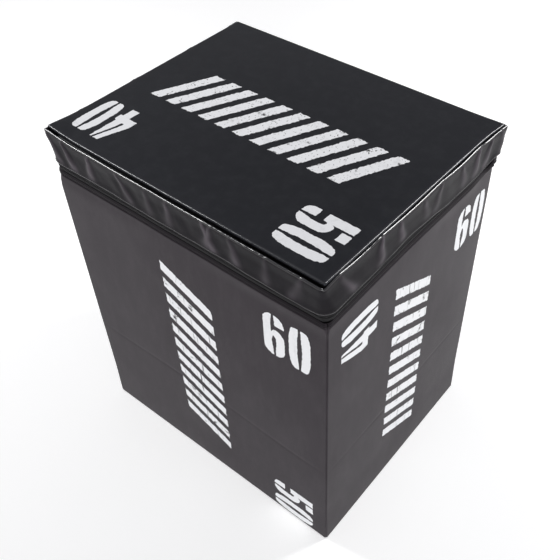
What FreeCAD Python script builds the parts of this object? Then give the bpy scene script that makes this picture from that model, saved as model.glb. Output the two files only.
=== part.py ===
import FreeCAD, Part
import math
import os

# Soft plyo box: a stack of foam slabs in a sewn vinyl cover, closed by a lid that is
# zipped on three sides and sewn to the body along the back.
# X runs along the 50 cm side, Y along the 40 cm side and Z up from the middle of the base.

# Sizes of the whole box, over the body's panels and over the height
body_length = 497.0
body_width = 397.0
overall_height = 600.0
corner_radius = 12.0

# Cover: the vinyl, how far the lid stands out past the body, and the gaps between sewn layers
vinyl = 1.0
lid_overhang = 3.4
lid_height = 50.0
hem_flare_height = 14.0
layer_gap = 0.1
seam_gap = 0.3

# Lid seam: the rolled edges of gusset and top panel, and the allowances that hang inside
gusset_roll = 1.0
gusset_drop = 0.7
panel_roll = 1.5
seam_allowance = 5.0
binding = 0.6
bottom_binding_height = 12.0
corner_binding_turn = 50.0

# Foam core
slab_count = 6
foam_clearance = 0.3
foam_edge_relief_share = 0.95

# Zip: the window between lid and body, the tapes with their coils, and the stops
zip_window = 10.0
zip_end_margin = 6.5
panel_step_gap = 2.0
tape = 0.7
tape_lap_share = 0.55
tape_tail = 1.5
coil_height = 2.6
coil_depth = 1.6
coil_split = 1.2
stop_length = 2.5
stop_gap = 0.3

# Zip slider with its bail, and the pull that swings on the bail
slider_length = 12.0
slider_plate = 1.2
slider_back_plate = 1.0
slider_clearance = 0.3
slider_edge_gap = 0.7
slider_corner = 2.0
neck_clearance = 0.25
neck_length = 3.5
bail_span = 9.2
bail_width = 2.0
bail_thickness = 1.0
bail_corner = 0.6
bar_clearance = 0.25
pull_thickness = 1.4
pull_width = 8.0
pull_length = 34.0
pull_clearance = 0.3
pull_end_share = 0.44
pull_hole_radius = 1.6
pull_hole_inset = 5.0

Vector = FreeCAD.Vector
upward = Vector(0, 0, 1)
downward = Vector(0, 0, -1)
half_turn_of_corner = 45.0
quarter_turn = 90.0
front, right, back, left = range(4)

# The rim: every strip of the cover is placed by its inset from the lid's outer face
lid_half_length = body_length / 2 + lid_overhang
lid_half_width = body_width / 2 + lid_overhang
lid_corner_radius = corner_radius + lid_overhang
corner_start = lid_half_width - lid_corner_radius

# Heights up the wall
gusset_fold = overall_height - lid_height
hem_top = gusset_fold - zip_window
flare_start = hem_top - hem_flare_height
zip_centre = hem_top + zip_window / 2
tape_lap = hem_flare_height * tape_lap_share
lower_coil_top = zip_centre - coil_split / 2
upper_coil_foot = zip_centre + coil_split / 2

# Insets into the box
panel_inner = lid_overhang + vinyl
tape_inset = vinyl + layer_gap
coil_inset = tape_inset + tape + layer_gap
seam_inset = 2 * (gusset_roll + vinyl)
panel_flange = seam_inset + layer_gap
wall_binding_inset = panel_inner + layer_gap
seam_stack = panel_flange + vinyl + layer_gap + binding
slider_depth = coil_inset + coil_depth + slider_clearance + slider_back_plate
foam_inset = max(seam_stack, wall_binding_inset + binding, slider_depth) + foam_clearance

# Places along the left and right sides, measured from the middle towards the back
zip_end = corner_start - zip_end_margin
panel_step = zip_end + panel_step_gap
stop_start = zip_end - tape_tail - stop_length
coil_end = stop_start - stop_gap
slider_middle = coil_end - slider_length / 2


def at(inset, height):
    return Vector(0, inset, height)


def line(start, end):
    return Part.LineSegment(start, end).toShape()


def arc(start, middle, end):
    return Part.Arc(start, middle, end).toShape()


def section(points):
    """A flat section of a strip, from its (inset, height) corners."""
    corners = [at(inset, height) for inset, height in points]
    return Part.Face(Part.makePolygon(corners + corners[:1]))


def upright_strip(inset, thickness, low, high):
    outer = inset
    inner = inset + thickness
    return section([(outer, low), (outer, high), (inner, high), (inner, low)])


def side_reach(side):
    """Half the straight run of a side, and the side's distance from the middle of the box."""
    if side in (front, back):
        return lid_half_length - lid_corner_radius, lid_half_width
    return lid_half_width - lid_corner_radius, lid_half_length


def placed(shape, side):
    return shape.rotate(Vector(), upward, quarter_turn * side)


def joined(pieces):
    solid = pieces[0]
    if len(pieces) > 1:
        solid = solid.fuse(pieces[1:])
    return solid.removeSplitter()


def along_side(face, side, run=None, lead_turn=0, tail_turn=0):
    """A strip along one side, with turns round the corners before and after it, in degrees."""
    reach, depth = side_reach(side)
    start, end = run or (-reach, reach)
    hub = lid_corner_radius - depth
    first = face.translated(Vector(start, -depth, 0))
    pieces = [first.extrude(Vector(end - start, 0, 0))]
    if lead_turn:
        pieces.append(first.revolve(Vector(start, hub, 0), downward, lead_turn))
    if tail_turn:
        last = face.translated(Vector(end, -depth, 0))
        pieces.append(last.revolve(Vector(end, hub, 0), upward, tail_turn))
    return placed(joined(pieces), side)


def round_rim(face):
    """A closed strip round all four sides."""
    return joined([along_side(face, side, tail_turn=quarter_turn) for side in (front, right, back, left)])


def three_sides(face, end):
    """A strip along the left side, the front and the right side, ending short of the back corners."""
    reach = side_reach(left)[0]
    left_run = along_side(face, left, run=(-end, reach), tail_turn=quarter_turn)
    front_run = along_side(face, front, tail_turn=quarter_turn)
    right_run = along_side(face, right, run=(-reach, end))
    return joined([left_run, front_run, right_run])


def rounded_block(inset, low, high):
    """A block with the box's rounded outline, inset from the lid's outer face."""
    half_length = lid_half_length - inset
    half_width = lid_half_width - inset
    size = Vector(2 * half_length, 2 * half_width, high - low)
    block = Part.makeBox(*size, Vector(-half_length, -half_width, low))
    uprights = [edge for edge in block.Edges if edge.Vertexes[0].Z != edge.Vertexes[1].Z]
    return block.makeFillet(lid_corner_radius - inset, uprights)


os.makedirs("parts", exist_ok=True)


def keep(name, shape):
    shape.exportStep(f"parts/{name}.step")


# Foam slabs, stacked from the bottom panel up; the top one has its upper edge eased for the lid's seam
foam_foot = vinyl
foam_top = overall_height - vinyl - foam_clearance
slab_height = (foam_top - foam_foot) / slab_count
foam_edge_relief = (lid_corner_radius - foam_inset) * foam_edge_relief_share
for level in range(slab_count):
    slab_low = foam_foot + level * slab_height
    slab = rounded_block(foam_inset, slab_low, slab_low + slab_height)
    if level == slab_count - 1:
        upper_face = max(slab.Faces, key=lambda face: face.CenterOfMass.z)
        slab = slab.makeChamfer(foam_edge_relief, upper_face.Edges)
    keep(f"foam_slab_{level + 1}", slab)

# Body panels: flat walls with a folded hem that flares out to the zip, split at the corner seams.
# The back panel, and the ends of the side panels past the zip, run up to the sewn back seam.
bottom_panel = rounded_block(lid_overhang, 0, vinyl)
keep("bottom_panel", bottom_panel)

back_seam_foot = gusset_fold - seam_gap
wall_outer = [(lid_overhang, vinyl), (lid_overhang, flare_start), (0, hem_top)]
wall_inner = [(vinyl, hem_top), (panel_inner, flare_start), (panel_inner, vinyl)]
zipped_wall = section(wall_outer + wall_inner)
sewn_wall = section(wall_outer + [(0, back_seam_foot), (vinyl, back_seam_foot)] + wall_inner)

panel_turn = half_turn_of_corner - math.degrees(seam_gap / 2 / lid_corner_radius)
keep("front_panel", along_side(zipped_wall, front, lead_turn=panel_turn, tail_turn=panel_turn))
keep("back_panel", along_side(sewn_wall, back, lead_turn=panel_turn, tail_turn=panel_turn))

right_zipped = along_side(zipped_wall, right, run=(-corner_start, panel_step), lead_turn=panel_turn)
right_sewn = along_side(sewn_wall, right, run=(panel_step, corner_start), tail_turn=panel_turn)
keep("right_panel", joined([right_zipped, right_sewn]))

left_sewn = along_side(sewn_wall, left, run=(-corner_start, -panel_step), lead_turn=panel_turn)
left_zipped = along_side(zipped_wall, left, run=(-panel_step, corner_start), tail_turn=panel_turn)
keep("left_panel", joined([left_sewn, left_zipped]))

# Binding tapes inside the body's seams: one round the bottom, one up each corner
bottom_binding_top = vinyl + bottom_binding_height
bottom_strip = upright_strip(wall_binding_inset, binding, vinyl, bottom_binding_top)
keep("bottom_seam_binding", round_rim(bottom_strip))

corner_strip = upright_strip(wall_binding_inset, binding, bottom_binding_top, flare_start)
corner_bindings = []
for side in (front, right, back, left):
    reach, depth = side_reach(side)
    hub_point = Vector(reach, lid_corner_radius - depth, 0)
    strip = corner_strip.translated(Vector(reach, -depth, 0))
    strip.rotate(hub_point, upward, half_turn_of_corner - corner_binding_turn / 2)
    corner_bindings.append(placed(strip.revolve(hub_point, upward, corner_binding_turn), side))
keep("corner_seam_binding", Part.makeCompound(corner_bindings))

# Lid gusset: a wall that rolls over at its upper edge into the seam allowance.
# One strip goes round the front; the back gusset closes the tray behind the zip's ends.
roll_height = overall_height - gusset_drop - seam_inset / 2
allowance_foot = roll_height - seam_allowance


def gusset_section(foot):
    crown = seam_inset / 2
    under = seam_inset - vinyl
    edges = [
        line(at(0, foot), at(0, roll_height)),
        arc(at(0, roll_height), at(crown, roll_height + crown), at(seam_inset, roll_height)),
        line(at(seam_inset, roll_height), at(seam_inset, allowance_foot)),
        line(at(seam_inset, allowance_foot), at(under, allowance_foot)),
        line(at(under, allowance_foot), at(under, roll_height)),
        arc(at(under, roll_height), at(crown, roll_height + gusset_roll), at(vinyl, roll_height)),
        line(at(vinyl, roll_height), at(vinyl, foot)),
        line(at(vinyl, foot), at(0, foot)),
    ]
    return Part.Face(Part.Wire(edges))


keep("lid_gusset", three_sides(gusset_section(gusset_fold), corner_start - seam_gap))
back_gusset = along_side(gusset_section(gusset_fold), back, lead_turn=quarter_turn, tail_turn=quarter_turn)
keep("lid_back_gusset", back_gusset)

# Lid top panel: a flat sheet whose edge rolls down into its own seam allowance
panel_edge = panel_roll + vinyl
edge_height = overall_height - panel_edge
edge_hub = panel_flange + panel_edge
slant_share = math.sqrt(0.5)


def edge_point(radius):
    return at(edge_hub - radius * slant_share, edge_height + radius * slant_share)


flange_inner = panel_flange + vinyl
panel_edge_wire = Part.Wire([
    line(at(panel_flange, allowance_foot), at(panel_flange, edge_height)),
    arc(at(panel_flange, edge_height), edge_point(panel_edge), at(edge_hub, overall_height)),
    line(at(edge_hub, overall_height), at(edge_hub, overall_height - vinyl)),
    arc(at(edge_hub, overall_height - vinyl), edge_point(panel_roll), at(flange_inner, edge_height)),
    line(at(flange_inner, edge_height), at(flange_inner, allowance_foot)),
    line(at(flange_inner, allowance_foot), at(panel_flange, allowance_foot)),
])
panel_sheet = rounded_block(edge_hub, overall_height - vinyl, overall_height)
keep("lid_top_panel", joined([panel_sheet, round_rim(Part.Face(panel_edge_wire))]))

# Lid seam binding: a folded tape round the two allowances
binding_outer = seam_inset - vinyl - layer_gap - binding
binding_inner = seam_stack
binding_lip = allowance_foot + seam_allowance / 2
binding_web = allowance_foot - layer_gap
keep("lid_seam_binding", round_rim(section([
    (binding_outer, binding_web - binding),
    (binding_outer, binding_lip),
    (binding_outer + binding, binding_lip),
    (binding_outer + binding, binding_web),
    (binding_inner - binding, binding_web),
    (binding_inner - binding, binding_lip),
    (binding_inner, binding_lip),
    (binding_inner, binding_web - binding),
])))

# Zip tapes: the upper one hangs straight behind the gusset, the lower one follows the hem's flare
upper_tape = upright_strip(tape_inset, tape, upper_coil_foot, gusset_fold + tape_lap)
keep("zip_upper_tape", three_sides(upper_tape, zip_end))

tape_foot_inset = tape_inset + lid_overhang * tape_lap_share
lower_tape = section([
    (tape_foot_inset, hem_top - tape_lap),
    (tape_inset, hem_top),
    (tape_inset, lower_coil_top),
    (tape_inset + tape, lower_coil_top),
    (tape_inset + tape, hem_top),
    (tape_foot_inset + tape, hem_top - tape_lap),
])
keep("zip_lower_tape", three_sides(lower_tape, zip_end))

# Zip coils: one row sewn along the facing edge of each tape, on its inner side
upper_coil = upright_strip(coil_inset, coil_depth, upper_coil_foot, upper_coil_foot + coil_height)
keep("zip_upper_coil", three_sides(upper_coil, coil_end))
lower_coil = upright_strip(coil_inset, coil_depth, lower_coil_top - coil_height, lower_coil_top)
keep("zip_lower_coil", three_sides(lower_coil, coil_end))

# Zip stops: a pair where the closed zip ends, one where it starts
stop_end = stop_start + stop_length
keep("zip_top_stop_upper", along_side(upper_coil, left, run=(-stop_end, -stop_start)))
keep("zip_top_stop_lower", along_side(lower_coil, left, run=(-stop_end, -stop_start)))
start_stop_top = upper_coil_foot - stop_gap
start_stop = upright_strip(coil_inset, coil_depth, lower_coil_top - coil_height, start_stop_top)
keep("zip_bottom_stop", along_side(start_stop, right, run=(stop_start, stop_end)))

# Slider on the left side, parked at the closed end: two plates joined by a neck between the coils.
# It is drawn with x out of the face, y along the zip and z up, then set on the left side.
plate_inner = slider_clearance - tape_inset
plate_outer = plate_inner + slider_plate
back_plate_outer = -(coil_inset + coil_depth + slider_clearance)
back_plate_inner = -slider_depth
plate_height = zip_window - 2 * slider_edge_gap
back_plate_height = coil_split + 2 * coil_height


def slider_block(inner, outer, length, height):
    """A block centred on the slider, from one depth to another out of the face."""
    return Part.makeBox(outer - inner, length, height, Vector(inner, -length / 2, -height / 2))


def rounded_along_x(block, radius):
    edges = [edge for edge in block.Edges if edge.Vertexes[0].X != edge.Vertexes[1].X]
    return block.makeFillet(radius, edges)


def on_left_side(shape):
    """Turn a slider piece to face outwards on the left side, at the slider's place."""
    shape.rotate(Vector(), upward, 2 * quarter_turn)
    shape.translate(Vector(-lid_half_length, slider_middle, zip_centre))
    return shape


bail_window = pull_thickness + 2 * bar_clearance
bail_outer = plate_outer + bail_window + bail_thickness
bail = slider_block(plate_outer, bail_outer, bail_span, bail_width)
bail_ends = [edge for edge in bail.Edges if edge.BoundBox.XMin > plate_outer and edge.BoundBox.ZLength > 0]
bail = bail.makeFillet(bail_corner, bail_ends)
bail_hole = slider_block(plate_outer, plate_outer + bail_window, bail_span - 2 * bail_thickness, bail_width)
face_plate = slider_block(plate_inner, plate_outer, slider_length, plate_height)
back_plate = slider_block(back_plate_inner, back_plate_outer, slider_length, back_plate_height)
slider = joined([
    rounded_along_x(face_plate, slider_corner),
    rounded_along_x(back_plate, slider_corner),
    slider_block(back_plate_outer, plate_inner, neck_length, coil_split - 2 * neck_clearance),
    bail.cut(bail_hole),
])
keep("zip_slider", on_left_side(slider))

# Pull: a flat tab with a window for the bail and a round bar under it, lying forward along the zip
pivot = plate_outer + bail_window / 2
bar_radius = pull_thickness / 2
window_length = math.hypot(bail_span / 2, bail_outer - pivot) + pull_clearance
window_width = bail_width + 2 * pull_clearance
pull_back = pivot - bar_radius
tab = Part.makeBox(pull_thickness, pull_length, pull_width, Vector(pull_back, 0, -pull_width / 2))
tab_ends = [
    edge
    for edge in tab.Edges
    if edge.Vertexes[0].X != edge.Vertexes[1].X and edge.CenterOfMass.y > window_length
]
tab = tab.makeFillet(pull_width * pull_end_share, tab_ends)
window_corner = Vector(pull_back, 0, -window_width / 2)
window = Part.makeBox(pull_thickness, window_length, window_width, window_corner)
hole_start = Vector(pull_back, pull_length - pull_hole_inset, 0)
hole = Part.makeCylinder(pull_hole_radius, pull_thickness, hole_start, Vector(1, 0, 0))
bar = Part.makeCylinder(bar_radius, pull_width, Vector(pivot, 0, -pull_width / 2), upward)
keep("zip_pull", on_left_side(joined([tab.cut(window).cut(hole), bar])))
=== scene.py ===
import math

import bmesh
import bpy
from mathutils import Matrix, Vector, noise


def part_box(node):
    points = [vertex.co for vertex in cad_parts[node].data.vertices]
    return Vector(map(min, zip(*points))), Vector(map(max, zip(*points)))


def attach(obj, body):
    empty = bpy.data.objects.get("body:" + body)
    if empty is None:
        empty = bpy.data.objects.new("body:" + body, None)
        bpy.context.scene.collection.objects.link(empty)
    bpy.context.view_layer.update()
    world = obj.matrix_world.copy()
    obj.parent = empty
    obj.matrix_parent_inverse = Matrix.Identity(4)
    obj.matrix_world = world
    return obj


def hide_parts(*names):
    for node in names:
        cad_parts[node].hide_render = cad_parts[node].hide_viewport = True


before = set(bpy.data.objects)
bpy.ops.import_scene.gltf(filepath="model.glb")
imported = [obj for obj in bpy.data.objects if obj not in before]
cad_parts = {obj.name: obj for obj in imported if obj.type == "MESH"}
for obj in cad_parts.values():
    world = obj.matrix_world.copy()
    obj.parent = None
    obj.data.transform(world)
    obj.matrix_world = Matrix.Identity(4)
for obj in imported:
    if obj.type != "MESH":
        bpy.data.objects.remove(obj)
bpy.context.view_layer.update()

# Foam core
# Six slabs of closed-cell foam, sawn from thick sheet and glued into one block that carries the jumper.
# The top slab's rim and corners are sawn back, which leaves room for the lid's rolled seam.
mm = 0.001
slab_count = 6
foam_corner = 9.3 * mm
top_foam_corner = 18 * mm
sawn_edge = 0.8 * mm
top_rim_cut = 15 * mm
cell_size = 2.4 * mm
cell_depth = 0.5 * mm


def add_node(tree, kind, values=None, **settings):
    """Adds a shader node with its settings and the values of its named inputs."""
    node = tree.nodes.new(kind)
    for name, value in settings.items():
        setattr(node, name, value)
    for name, value in (values or {}).items():
        node.inputs[name].default_value = value
    return node


def new_finish(name, **sockets):
    """Makes a material and returns it with its node tree and its shader, with the plain sockets set."""
    material = bpy.data.materials.new(name)
    material.use_nodes = True
    tree = material.node_tree
    shader = tree.nodes["Principled BSDF"]
    for socket, value in sockets.items():
        shader.inputs[socket.replace("_", " ")].default_value = value
    return material, tree, shader


def two_tone(tree, mask, dark, light, low, high):
    """A colour that goes from dark to light as the mask goes from low to high."""
    ramp = add_node(tree, "ShaderNodeValToRGB")
    ramp.color_ramp.elements[0].position = low
    ramp.color_ramp.elements[0].color = (*dark, 1)
    ramp.color_ramp.elements[1].position = high
    ramp.color_ramp.elements[1].color = (*light, 1)
    tree.links.new(mask, ramp.inputs["Fac"])
    return ramp.outputs["Color"]


def paint(tree, shader, mask, dark, light, low, high):
    """Colours the shader from dark to light as the mask goes from low to high."""
    tree.links.new(two_tone(tree, mask, dark, light, low, high), shader.inputs["Base Color"])


def spread(tree, mask, low, high):
    """A value that goes from low to high as the mask goes from 0 to 1."""
    node = add_node(tree, "ShaderNodeMapRange", {"To Min": low, "To Max": high})
    tree.links.new(mask, node.inputs["Value"])
    return node.outputs["Result"]


def raise_surface(tree, shader, height, depth):
    """Bumps the shader's normal by a height from 0 to 1, depth metres high."""
    bump = add_node(tree, "ShaderNodeBump", {"Strength": 1.0, "Distance": depth})
    tree.links.new(height, bump.inputs["Height"])
    tree.links.new(bump.outputs["Normal"], shader.inputs["Normal"])


def new_piece(name, bm, body, slot, *materials):
    """Turns a finished bmesh into a piece that rides on its body."""
    mesh = bpy.data.meshes.new(name)
    bm.to_mesh(mesh)
    bm.free()
    for material in materials:
        mesh.materials.append(material)
    piece = bpy.data.objects.new(name, mesh)
    bpy.context.scene.collection.objects.link(piece)
    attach(piece, body)
    return piece


def round_off(bm, geom, offset, segments, affect="EDGES"):
    """Rounds edges or corners of a bmesh."""
    bmesh.ops.bevel(bm, geom=geom, offset=offset, segments=segments, profile=0.5, affect=affect, material=-1)


foam, tree, shader = new_finish("closed_cell_foam", Roughness=0.9, Specular_IOR_Level=0.2)
place = add_node(tree, "ShaderNodeTexCoord").outputs["Object"]
cells = add_node(tree, "ShaderNodeTexVoronoi", {"Scale": 1 / cell_size, "Randomness": 1.0})
clouds = add_node(tree, "ShaderNodeTexNoise", {"Scale": 9.0, "Detail": 4.0})
tree.links.new(place, cells.inputs["Vector"])
tree.links.new(place, clouds.inputs["Vector"])
paint(tree, shader, clouds.outputs["Fac"], (0.36, 0.37, 0.39), (0.50, 0.51, 0.53), 0.3, 0.7)
raise_surface(tree, shader, cells.outputs["Distance"], cell_depth)

for number in range(1, slab_count + 1):
    node = f"foam_slab_{number}"
    low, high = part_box(node)
    bm = bmesh.new()
    size = Matrix.Diagonal((*(high - low), 1))
    bmesh.ops.create_cube(bm, size=1, matrix=Matrix.Translation((low + high) / 2) @ size)
    uprights = [e for e in bm.edges if abs(e.verts[0].co.z - e.verts[1].co.z) > mm]
    round_off(bm, uprights, top_foam_corner if number == slab_count else foam_corner, 6)
    for rim_height in (low.z, high.z):
        rim = [e for e in bm.edges if all(abs(v.co.z - rim_height) < sawn_edge / 2 for v in e.verts)]
        cut = top_rim_cut if number == slab_count and rim_height == high.z else sawn_edge
        round_off(bm, rim, cut, 2)
    slab = new_piece(f"foam_{number}", bm, "box", "foam", foam)
    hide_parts(node)

# Walls of the cover
# Four panels of black coated cloth, sewn right sides together up the box's corners and then turned, which
# leaves a fine valley along each corner. Their upper edge flares out in a folded hem for the zip, whose
# black is painted darker as shade under the lid.
lid_low, lid_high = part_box("lid_gusset")
half_length = lid_high.x
half_width = -lid_low.y
lid_corner = 15.4 * mm
cloth = 1.0 * mm
wall_inset = 2.6 * mm
wall_corner = 2.6 * mm
hem_corner = 10 * mm
hem_corner_start = 515 * mm
foot_flare = 1.4 * mm
foot_flare_top = 90 * mm
least_bend = 0.8 * mm
seam_depth = 1.2 * mm
seam_spread = 0.9 * mm
bottom_roll = 2.0 * mm
bottom_roll_depth = 0.8 * mm
flare_start = 526 * mm
hem_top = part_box("front_panel")[1].z
back_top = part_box("back_panel")[1].z
hem_groove = 531 * mm
hem_groove_depth = 4.2 * mm
hem_groove_spread = 1.5 * mm
hem_line = 535.4 * mm
hem_line_depth = 0.8 * mm
hem_line_spread = 0.7 * mm
hem_round = 2.4 * mm
hem_round_start = hem_groove + 3 * mm
# Where the hem's painted shade begins, just above the stitched groove.
hem_painted_shade_span = (hem_groove - mm, hem_groove + 0.6 * mm)
corner_hold = 0.6
corner_hold_reach = 14 * mm
hem_drop = 4.5 * mm
hem_drop_span = (hem_groove - 45 * mm, hem_groove - 3 * mm)
hem_lean_span = (hem_groove - 25 * mm, hem_groove + 4 * mm)
hem_push_span = (hem_groove - 8 * mm, hem_groove)
hem_turn = 8 * mm
seam_allowance = 5 * mm
zip_end = 180 * mm
zip_end_step = 3 * mm
crease_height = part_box("foam_slab_2")[1].z
crease_depth = 0.55 * mm
crease_spread = 3.5 * mm
crease_wander = 8 * mm
crease_wander_size = 200 * mm
crease_strength_share = 0.55
crease_change_share = 0.45
crease_change_size = 90 * mm
flat_across = 60 * mm
flat_up = 40 * mm
belly = 0.9 * mm
back_set = 1.0 * mm
back_set_span = (hem_groove - 130 * mm, hem_groove - 30 * mm)
wave_depth = 0.55 * mm
wave_size = 120 * mm
wave_stretch = 1.6
wave_end_span = (flare_start - 30 * mm, flare_start)
front_reach = half_length - lid_corner + lid_corner * math.pi / 4
side_reach = half_width - lid_corner + lid_corner * math.pi / 4
perimeter = 4 * (front_reach + side_reach)
side_middles = (0.0, front_reach + side_reach, 2 * (front_reach + side_reach), -front_reach - side_reach)
# Each drawn corner: its side along length and width, its rise, its push outwards and its reach.
corner_pulls = ((-1, -1, 4.5 * mm, 0.0, 38 * mm), (1, 1, 1.2 * mm, 4.4 * mm, 30 * mm))
zip_run = side_middles[1] + zip_end
gape_start_span = (-front_reach - 60 * mm, -front_reach)
gape_end_span = (zip_run - 12 * mm, zip_run + 2 * mm)


def side_of(run):
    """The side, from 0 at the front round by the right, and the way along it, for a run round the box."""
    run = (run + front_reach) % perimeter - front_reach
    if run <= front_reach:
        return 0, run
    if run <= front_reach + 2 * side_reach:
        return 1, run - side_middles[1]
    if run <= 3 * front_reach + 2 * side_reach:
        return 2, run - side_middles[2]
    return 3, run - perimeter - side_middles[3]


def rim_point(run, inset, height, arc):
    """A point on the level line that lies inset from the lid's outer face and turns the corners by arc."""
    side, along = side_of(run)
    long_half, short_half = (half_length, half_width) if side % 2 == 0 else (half_width, half_length)
    straight = long_half - lid_corner
    corner_along = long_half - inset - arc
    corner_out = short_half - inset - arc
    reach = abs(along)
    if reach <= straight:
        spot = Vector((along / straight * corner_along, -corner_out - arc, height))
    else:
        turn = (reach - straight) / lid_corner
        spot = Vector((corner_along + arc * math.sin(turn), -corner_out - arc * math.cos(turn), height))
        spot.x = math.copysign(spot.x, along)
    return Matrix.Rotation(side * math.pi / 2, 3, "Z") @ spot


def hump(value, middle, width):
    """A smooth hump of height 1 about the middle."""
    return math.exp(-(((value - middle) / width) ** 2))


def ease(value, start, end):
    """Goes smoothly from 0 at start to 1 at end."""
    share = min(1.0, max(0.0, (value - start) / (end - start)))
    return share * share * (3 - 2 * share)


def along_sides(places):
    """Runs and values, both in metres, of places that are given along the sides in millimetres."""
    listed = []
    for side, row in places.items():
        listed += [(side_middles[side] + along * mm, value * mm) for along, value in row]
    return sorted(listed)


def between(listed, run):
    """The value at a run, eased between the listed values on either side of it, and 0 outside the list."""
    for (before, first), (after, second) in zip(listed, listed[1:]):
        if before <= run <= after:
            return first + (second - first) * ease(run, before, after)
    return 0.0


# How far the zip's band stands back at places along each side.
zip_leans = along_sides({
    0: ((-238, 2.0), (-95, 1.2), (0, -0.3), (157, -2.8), (238, -2.2)),
    1: ((-186, -1.2), (-25, 0.0), (75, -1.4), (126, -2.2), (168, 0.0)),
    3: ((186, 0.0),),
})


def zip_gape(run):
    """How much the zip's band gapes: all along the front and the right side, not beside the slider."""
    return ease(run, *gape_start_span) * (1 - ease(run, *gape_end_span))


def zip_lean(run):
    """How far the zip's band stands back from its straight line, as the lid sits turned on the box."""
    return between(zip_leans, run)


def near_corner(spot, side_x, side_y, reach):
    """How near a point is to one of the lid's corners: 1 at the corner, 0 far from it."""
    return hump(math.hypot(spot.x - side_x * half_length, spot.y - side_y * half_width), 0, reach)


def pushed(spot):
    """A point of the hem or the lid, pushed out near the corner that the lid overhangs."""
    moved = spot.copy()
    for side_x, side_y, _, push, reach in corner_pulls:
        near = near_corner(spot, side_x, side_y, reach)
        moved.x += side_x * push * near * ease(spot.z, *hem_push_span)
    return moved


def wall_top(run):
    """Height of the hem's fold: behind the zip's ends the cover goes up to the lid's sewn seam."""
    side, along = side_of(run)
    if side == 2:
        return back_top
    if side == 0:
        return hem_top
    towards_back = along if side == 1 else -along
    return hem_top + (back_top - hem_top) * ease(towards_back, zip_end, zip_end + zip_end_step)


def wall_point(run, height, tuck=0.0, lift=0.0):
    """A point of the walls' face at a nominal height, tucked in behind it or lifted off it."""
    side, along = side_of(run)
    side_half = front_reach if side % 2 == 0 else side_reach
    to_seam = side_half - abs(along)
    flat = ease(to_seam, 0, flat_across) * ease(height, 0, flat_up)
    plain_inset = wall_inset * (1 - ease(height, flare_start, hem_top))
    plain_corner = wall_corner + (hem_corner - wall_corner) * ease(height, hem_corner_start, hem_top)
    inset = plain_inset + seam_depth * hump(to_seam * plain_corner / lid_corner, 0, seam_spread)
    inset += bottom_roll_depth * max(0.0, 1 - height / bottom_roll) ** 2
    groove = hem_groove_depth * (1 - corner_hold * hump(to_seam, 0, corner_hold_reach))
    inset += groove * hump(height, hem_groove, hem_groove_spread)
    inset += hem_line_depth * hump(height, hem_line, hem_line_spread)
    inset += hem_round * ease(height, hem_round_start, hem_top)
    inset += back_set * (side == 2) * ease(height, *back_set_span)
    lean = zip_lean(run) * ease(height, *hem_lean_span)
    drop = hem_drop * zip_gape(run) * ease(height, *hem_drop_span)
    inset -= foot_flare * (1 - ease(height, 0, foot_flare_top))
    inset -= belly * flat * math.sin(math.pi * min(1.0, height / hem_top))
    wave = noise.noise(Vector((run / wave_size, height / (wave_stretch * wave_size), 4.2)))
    inset += wave_depth * wave * flat * (1 - ease(height, *wave_end_span))
    crease_line = crease_height + crease_wander * noise.noise(Vector((run / crease_wander_size, 1.7, 0.0)))
    change = crease_change_share * noise.noise(Vector((run / crease_change_size, 8.1, 0.0)))
    strength = crease_strength_share + change
    inset += crease_depth * strength * flat * hump(height, crease_line, crease_spread)
    if height > hem_groove:
        stretch = (wall_top(run) - hem_groove) / (hem_top - hem_groove)
        height = hem_groove + (height - hem_groove) * stretch
    inset += tuck - lift
    arc = max(least_bend, plain_corner + plain_inset - inset)
    return pushed(rim_point(run, inset + lean, height - drop, arc))


def wall_painted_shade(run, station):
    """No shine on the walls, and painted shade: the hem under the lid is painted a darker black for the
    shade there.
    """
    height, _ = station
    return 0.0, ease(height, *hem_painted_shade_span)


def spaced(start, *stretches):
    """Values from start on, in stretches that each have an end and a step."""
    values = [start]
    for end, step in stretches:
        begin = values[-1]
        count = max(1, round(abs(end - begin) / step))
        values += [begin + (end - begin) * (k + 1) / count for k in range(count)]
    return values


def add_cloth(bm, runs, stations, place, shine_and_painted_light=None):
    """Lays a grid of cloth with a column at each run and a row at each station, with its UV map in metres.
    shine_and_painted_light gives how shiny the cloth is and how much of its painted-light colour it shows at
    a run and a station: painted highlight on the gusset, painted shade on the walls' hem."""
    columns = len(runs) - 1
    rows = len(stations) - 1
    if shine_and_painted_light:
        shine_layer = bm.verts.layers.float.new("shine")
        painted_light_layer = bm.verts.layers.float.new("painted_light_share")
    made = bmesh.ops.create_grid(bm, x_segments=columns, y_segments=rows, size=1)
    uv = bm.loops.layers.uv.verify()
    middle = [place(runs[columns // 2], station) for station in stations]
    climbs = [0.0]
    for before, after in zip(middle, middle[1:]):
        climbs.append(climbs[-1] + (after - before).length)
    spots = {}
    for vert in made["verts"]:
        spots[vert] = (round((vert.co.x + 1) / 2 * columns), round((vert.co.y + 1) / 2 * rows))
    for vert, (column, row) in spots.items():
        vert.co = place(runs[column], stations[row])
        if shine_and_painted_light:
            vert[shine_layer], vert[painted_light_layer] = shine_and_painted_light(runs[column], stations[row])
    for face in {face for vert in made["verts"] for face in vert.link_faces}:
        face.smooth = True
        for loop in face.loops:
            column, row = spots[loop.vert]
            loop[uv].uv = (runs[column], climbs[row])


def cloth_piece(name, bm, body, slot, thickness, *materials):
    """A piece of cloth with its thickness on the inner side, where the second material shows."""
    piece = new_piece(name, bm, body, slot, *materials)
    wall = piece.modifiers.new("thickness", "SOLIDIFY")
    wall.thickness = thickness
    wall.offset = -1
    wall.material_offset = 1
    wall.material_offset_rim = 1
    return piece


def new_effect(name, inputs, outputs):
    """Starts a shader node group and returns it with its input and output nodes."""
    group = bpy.data.node_groups.new(name, "ShaderNodeTree")
    for socket, kind in inputs.items():
        group.interface.new_socket(socket, in_out="INPUT", socket_type=kind)
    for socket, kind in outputs.items():
        group.interface.new_socket(socket, in_out="OUTPUT", socket_type=kind)
    return group, group.nodes.new("NodeGroupInput"), group.nodes.new("NodeGroupOutput")


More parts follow.
